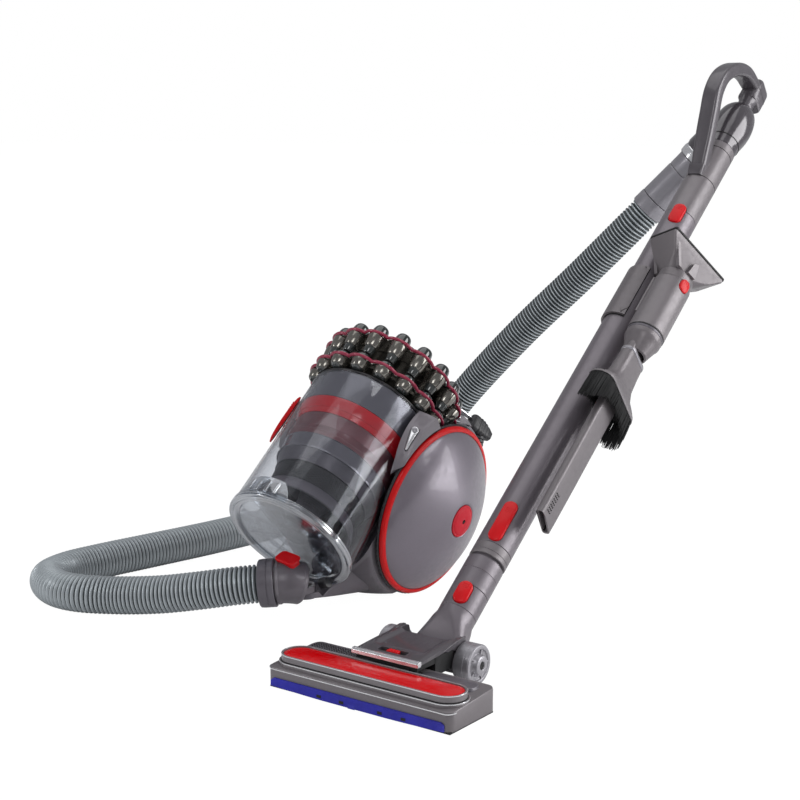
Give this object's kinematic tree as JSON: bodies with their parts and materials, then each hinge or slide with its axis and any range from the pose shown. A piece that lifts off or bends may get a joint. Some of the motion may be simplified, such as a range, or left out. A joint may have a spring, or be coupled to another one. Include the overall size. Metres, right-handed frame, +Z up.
{
  "type": "canister vacuum cleaner",
  "caption": "Ball-type canister vacuum cleaner with a clear cyclone bin, looped hose, telescopic wand, clipped-on tools and a floor head.",
  "frame": {"origin": "on the floor, on the flat rear strip of the floor head's sole plate, at the mount head_sole; the middle of the ball is 323 mm behind it and 180 mm to its right", "axes": "+Z up, -X toward the canister's nose and the front of the floor head, -Y toward the canister's left side, where the wand stands"},
  "size_m": [0.9486, 0.7159, 0.6831],
  "materials": {
    "gunmetal": "metallic gloss",
    "dark_grey": "satin",
    "mid_grey": "satin",
    "red": "gloss",
    "red_matt": "matt",
    "red_clear": "clear",
    "black": "matt",
    "tyre": "matt",
    "clear": "clear",
    "smoke": "clear",
    "hose_grey": "satin",
    "chrome": "brushed",
    "blue": "matt",
    "white": "matt"
  },
  "bodies": {
    "nose": {"nose_duct": "dark_grey", "hose_cuff_lower": "mid_grey", "hose": "hose_grey", "hose_cuff_upper": "mid_grey"},
    "hose_catch": {"hose_catch": "red"},
    "chassis": {"chassis": "dark_grey", "motor": "black", "exhaust_filter": "white"},
    "fan": {"fan": "mid_grey"},
    "cord_reel": {"cord_reel": "mid_grey"},
    "plug": {"mains_plug": "black"},
    "power_button": {"power_button": "chrome"},
    "rewind_button": {"rewind_button": "chrome"},
    "wheel_left": {"wheel_shell_left": "gunmetal", "wheel_ring_left": "red", "wheel_tyre_left": "tyre"},
    "cap_left": {"wheel_cap_left": "red_matt"},
    "wheel_right": {"wheel_shell_right": "gunmetal", "wheel_ring_right": "red", "wheel_tyre_right": "tyre"},
    "cap_right": {"wheel_cap_right": "red_matt"},
    "bin": {"bin_cylinder": "clear", "bin_collar": "dark_grey", "separator_band": "red_clear", "shroud": "black", "cyclone_core": "gunmetal", "cyclone_tier_lower": "gunmetal", "cyclone_tier_upper": "gunmetal", "carry_handle": "smoke"},
    "flap": {"base_flap": "clear"},
    "latch": {"base_latch": "clear"},
    "release_slider": {"release_slider": "red"},
    "elbow": {"elbow": "dark_grey"},
    "handle": {"handle_tube": "dark_grey", "grip": "dark_grey", "handle_end": "dark_grey"},
    "suction_button": {"suction_button": "mid_grey"},
    "wand": {"wand_tube": "mid_grey", "wand_collar": "mid_grey", "tool_clip": "mid_grey"},
    "wand_catch": {"wand_catch": "red"},
    "telescope_catch": {"telescope_catch": "red"},
    "inner_tube": {"wand_inner_tube": "mid_grey"},
    "neck": {"neck_collar": "mid_grey"},
    "head_catch": {"head_catch": "red"},
    "fork": {"neck_fork": "mid_grey"},
    "yoke": {"yoke": "dark_grey"},
    "suction_slider": {"suction_slider": "red"},
    "head_wheel_left": {"head_wheel_left": "chrome"},
    "head_wheel_right": {"head_wheel_right": "chrome"},
    "head": {"head_body": "mid_grey", "head_panel": "red", "sole_plate": "black", "felt_strip": "blue"},
    "adapter": {"tool_adapter": "mid_grey"},
    "adapter_catch": {"adapter_catch": "red"},
    "stair_tool": {"stair_tool": "mid_grey"},
    "crevice_tool": {"crevice_tool": "mid_grey"},
    "dusting_brush": {"dusting_brush": "black"}
  },
  "joints": [
    {"name": "steering", "type": "hinge", "parent": "nose", "child": "chassis", "pos_m": [0.165, 0.18, 0.024], "axis": [0, 0, 1], "range_deg": [-12, 12]},
    {"name": "hose_catch_press", "type": "slide", "parent": "nose", "child": "hose_catch", "axis": [0.3006, 0.1503, -0.9418], "range_m": [0, 0.002]},
    {"name": "wheel_left_spin", "type": "hinge", "parent": "chassis", "child": "wheel_left", "pos_m": [0.323, 0.0949, 0.1106], "axis": [0, -0.982, -0.1891], "continuous": true},
    {"name": "cap_left_turn", "type": "hinge", "parent": "wheel_left", "child": "cap_left", "pos_m": [0.323, 0.0949, 0.1106], "axis": [0, -0.982, -0.1891], "range_deg": [0, 90]},
    {"name": "wheel_right_spin", "type": "hinge", "parent": "chassis", "child": "wheel_right", "pos_m": [0.323, 0.2651, 0.1106], "axis": [0, 0.982, -0.1891], "continuous": true},
    {"name": "cap_right_turn", "type": "hinge", "parent": "wheel_right", "child": "cap_right", "pos_m": [0.323, 0.2651, 0.1106], "axis": [0, 0.982, -0.1891], "range_deg": [0, 90]},
    {"name": "fan_spin", "type": "hinge", "parent": "chassis", "child": "fan", "pos_m": [0.377, 0.18, 0.07], "axis": [0, -1, 0], "continuous": true},
    {"name": "plug_pull", "type": "slide", "parent": "chassis", "child": "plug", "axis": [0.9196, -0.3798, 0.1], "range_m": [0, 0.07]},
    {"name": "reel_turn", "type": "hinge", "parent": "chassis", "child": "cord_reel", "pos_m": [0.323, 0.2651, 0.1106], "axis": [0, 0.982, -0.1891], "range_deg": [-85, 85]},
    {"name": "power_press", "type": "slide", "parent": "chassis", "child": "power_button", "axis": [0.6879, 0.4339, -0.5819], "range_m": [0, 0.002]},
    {"name": "rewind_press", "type": "slide", "parent": "chassis", "child": "rewind_button", "axis": [0.6879, -0.4339, -0.5819], "range_m": [0, 0.002]},
    {"name": "bin_lift", "type": "slide", "parent": "chassis", "child": "bin", "axis": [-0.6184, 0, 0.7859], "range_m": [0, 0.15]},
    {"name": "flap_open", "type": "hinge", "parent": "bin", "child": "flap", "pos_m": [0.1884, 0.18, 0.0374], "axis": [0, -1, 0], "range_deg": [0, 6]},
    {"name": "latch_pull", "type": "slide", "parent": "bin", "child": "latch", "axis": [-0.6184, 0, 0.7859], "range_m": [0, 0.003]},
    {"name": "release_push", "type": "slide", "parent": "bin", "child": "release_slider", "axis": [-0.7859, 0, -0.6184], "range_m": [0, 0.01]},
    {"name": "elbow_turn", "type": "hinge", "parent": "nose", "child": "elbow", "pos_m": [0.7977, -0.076, 0.5945], "axis": [0.2261, -0.6602, 0.7162], "range_deg": [-8, 20]},
    {"name": "handle_turn", "type": "hinge", "parent": "elbow", "child": "handle", "pos_m": [0.7977, -0.076, 0.5945], "axis": [0.78, 0, 0.6258], "range_deg": [-40, 40]},
    {"name": "suction_button_press", "type": "slide", "parent": "handle", "child": "suction_button", "axis": [-0.78, 0, -0.6258], "range_m": [0, 0.0015]},
    {"name": "wand_pull", "type": "slide", "parent": "handle", "child": "wand", "axis": [-0.78, 0, -0.6258], "range_m": [0, 0.035]},
    {"name": "wand_catch_press", "type": "slide", "parent": "wand", "child": "wand_catch", "axis": [0.5968, 0.3007, -0.7439], "range_m": [0, 0.001]},
    {"name": "telescope", "type": "slide", "parent": "wand", "child": "inner_tube", "axis": [-0.78, 0, -0.6258], "range_m": [0, 0.28]},
    {"name": "telescope_catch_press", "type": "slide", "parent": "wand", "child": "telescope_catch", "axis": [0.5968, 0.3007, -0.7439], "range_m": [0, 0.001]},
    {"name": "neck_pull", "type": "slide", "parent": "inner_tube", "child": "neck", "axis": [-0.78, 0, -0.6258], "range_m": [0, 0.035]},
    {"name": "head_catch_press", "type": "slide", "parent": "neck", "child": "head_catch", "axis": [0.5968, 0.3007, -0.7439], "range_m": [0, 0.001]},
    {"name": "neck_swivel", "type": "hinge", "parent": "neck", "child": "fork", "pos_m": [0.12534, -0.076, 0.05507], "axis": [0.78, 0, 0.6258], "range_deg": [-40, 40]},
    {"name": "neck_pitch", "type": "hinge", "parent": "fork", "child": "yoke", "pos_m": [0.077, -0.076, 0.0226], "axis": [0, 1, 0], "range_deg": [-20, 36]},
    {"name": "suction_slide", "type": "slide", "parent": "yoke", "child": "suction_slider", "axis": [0, 1, 0], "range_m": [-0.008, 0.008]},
    {"name": "head_wheel_left_spin", "type": "hinge", "parent": "yoke", "child": "head_wheel_left", "pos_m": [0.077, -0.076, 0.0226], "axis": [0, 1, 0], "continuous": true},
    {"name": "head_wheel_right_spin", "type": "hinge", "parent": "yoke", "child": "head_wheel_right", "pos_m": [0.077, -0.076, 0.0226], "axis": [0, 1, 0], "continuous": true},
    {"name": "head_rock", "type": "hinge", "parent": "yoke", "child": "head", "pos_m": [0.001, -0.076, 0.031], "axis": [0, 1, 0], "range_deg": [-8, 8]},
    {"name": "adapter_unclip", "type": "slide", "parent": "wand", "child": "adapter", "axis": [-0.3129, -0.866, 0.39], "range_m": [0, 0.1]},
    {"name": "adapter_catch_press", "type": "slide", "parent": "adapter", "child": "adapter_catch", "axis": [0.2243, 0.9336, -0.2795], "range_m": [0, 0.001]},
    {"name": "stair_tool_pull", "type": "slide", "parent": "adapter", "child": "stair_tool", "axis": [0.78, 0, 0.6258], "range_m": [0, 0.03]},
    {"name": "crevice_tool_pull", "type": "slide", "parent": "adapter", "child": "crevice_tool", "axis": [-0.78, 0, -0.6258], "range_m": [0, 0.05]},
    {"name": "brush_slide", "type": "slide", "parent": "crevice_tool", "child": "dusting_brush", "axis": [-0.78, 0, -0.6258], "range_m": [0, 0.13]}
  ],
  "couplings": [
    {"joint": "reel_turn", "follows": "plug_pull", "rad_per_m": 21}
  ]
}
